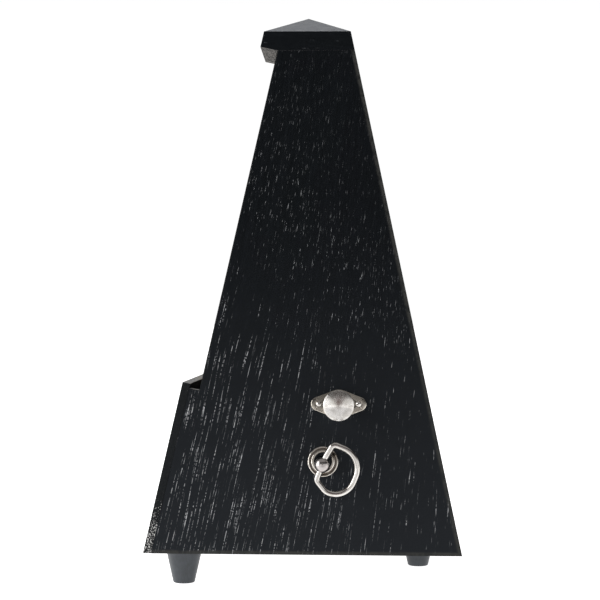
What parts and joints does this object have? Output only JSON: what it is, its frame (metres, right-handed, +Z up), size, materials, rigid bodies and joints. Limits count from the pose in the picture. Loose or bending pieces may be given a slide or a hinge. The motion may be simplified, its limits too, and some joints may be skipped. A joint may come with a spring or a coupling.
{
  "type": "metronome",
  "caption": "Wind-up pyramid metronome with swinging pendulum, sliding weight, bell pull and winding key; front lid off.",
  "frame": {"origin": "on the floor under the middle of the whole outline, key and knob included", "axes": "+Z up, -Y the open front with the pendulum, +X the side with the winding key and bell pull"},
  "size_m": [0.129, 0.12, 0.2259],
  "materials": {
    "black_wood": "matt black stain over open-pored ash, pale dust in the pores",
    "foot_paint": "satin slate-grey lacquer on turned wood",
    "plain_wood": "unfinished beech",
    "board_wood": "matt black stained board",
    "scale_silver": "satin, printed with black figures",
    "nickel": "polished nickel plate",
    "steel": "bright steel",
    "blued_steel": "blued spring steel",
    "brass": "satin brass",
    "bob_lead": "black lacquered iron",
    "bell_metal": "nickel-plated bell bronze",
    "screw_steel": "turned screw heads"
  },
  "bodies": {
    "case": {"back_panel": "black_wood", "base_board": "plain_wood", "bell": "bell_metal", "bell_post": "brass", "bell_screw": "screw_steel", "cap_block": "black_wood", "click_spring": "blued_steel", "click_stud": "steel", "clip_screws": "screw_steel", "crown_cock": "brass", "escutcheon": "nickel", "escutcheon_nails": "nickel", "foot_back": "foot_paint", "foot_front_left": "foot_paint", "foot_front_right": "foot_paint", "foot_screws": "screw_steel", "front_bridge": "brass", "front_panel": "black_wood", "key_rosette": "nickel", "movement_plate_left": "brass", "movement_plate_right": "brass", "movement_rails": "plain_wood", "park_clip": "steel", "pillar_bolts": "screw_steel", "plate_pillars": "steel", "rail_screws": "screw_steel", "rear_cock": "brass", "scale_board": "board_wood", "scale_pins": "screw_steel", "scale_plate": "scale_silver", "side_panel_left": "black_wood", "side_panel_right": "black_wood"},
    "winding": {"winding_arbor": "steel", "ratchet_wheel": "steel", "key_stem": "nickel", "key_ball": "nickel"},
    "key_ring": {"key_ring": "nickel"},
    "click": {"click": "steel"},
    "barrel": {"barrel": "brass", "barrel_cover": "brass", "mainspring": "blued_steel"},
    "second": {"second_arbor": "steel", "second_wheel": "brass"},
    "crown": {"crown_arbor": "steel", "crown_wheel": "brass"},
    "drum": {"drum_arbor": "steel", "drum_wheel": "brass", "accent_drum": "brass"},
    "bell_pull": {"pull_rod": "steel", "pull_knob": "nickel", "selector_fork": "brass"},
    "hammer": {"hammer_arbor": "steel", "hammer": "brass"},
    "finger": {"accent_finger": "brass"},
    "pendulum": {"pendulum_rod": "steel", "lower_bob": "bob_lead", "pendulum_staff": "steel", "staff_hub": "brass", "pallet_flags": "steel"},
    "weight": {"sliding_weight": "brass"}
  },
  "joints": [
    {"name": "key_turn", "type": "hinge", "parent": "case", "child": "winding", "pos_m": [-0.00445, 0.00766, 0.0473], "axis": [1, 0, 0], "continuous": true},
    {"name": "ring_flip", "type": "hinge", "parent": "winding", "child": "key_ring", "pos_m": [0.06155, 0.00766, 0.0473], "axis": [0, 0.3665, 0.9304], "range_deg": [-215, 38]},
    {"name": "click_pivot", "type": "hinge", "parent": "case", "child": "click", "pos_m": [-0.00445, 0.01966, 0.0553], "axis": [1, 0, 0], "range_deg": [-14, 0], "stiffness_Nm_per_rad": 0.004, "springref_deg": 2.86},
    {"name": "barrel_turn", "type": "hinge", "parent": "case", "child": "barrel", "pos_m": [-0.00445, 0.00766, 0.0473], "axis": [1, 0, 0], "continuous": true},
    {"name": "second_turn", "type": "hinge", "parent": "case", "child": "second", "pos_m": [-0.00445, -0.01452, 0.0463], "axis": [1, 0, 0], "continuous": true},
    {"name": "crown_turn", "type": "hinge", "parent": "case", "child": "crown", "pos_m": [-0.00445, -0.02634, 0.05708], "axis": [1, 0, 0], "continuous": true},
    {"name": "drum_turn", "type": "hinge", "parent": "case", "child": "drum", "pos_m": [-0.00445, -0.02266, 0.06691], "axis": [1, 0, 0], "continuous": true},
    {"name": "bell_pull", "type": "slide", "parent": "case", "child": "bell_pull", "axis": [1, 0, 0], "range_m": [0, 0.012]},
    {"name": "hammer_swing", "type": "hinge", "parent": "case", "child": "hammer", "pos_m": [-0.00445, -0.008, 0.073], "axis": [1, 0, 0], "range_deg": [-14, 1], "stiffness_Nm_per_rad": 0.004},
    {"name": "finger_shift", "type": "slide", "parent": "hammer", "child": "finger", "axis": [1, 0, 0], "range_m": [0, 0.012]},
    {"name": "pendulum_swing", "type": "hinge", "parent": "case", "child": "pendulum", "pos_m": [-0.00445, -0.0446, 0.06087], "axis": [0, -0.9791, 0.2032], "range_deg": [-25, 25]},
    {"name": "weight_slide", "type": "slide", "parent": "pendulum", "child": "weight", "axis": [0, 0.2114, 0.9774], "range_m": [0, 0.096]}
  ],
  "couplings": [
    {"joint": "second_turn", "follows": "barrel_turn", "ratio": -6.4},
    {"joint": "crown_turn", "follows": "barrel_turn", "ratio": 34.56},
    {"joint": "drum_turn", "follows": "barrel_turn", "ratio": -13.824},
    {"joint": "finger_shift", "follows": "bell_pull", "ratio": 1}
  ]
}
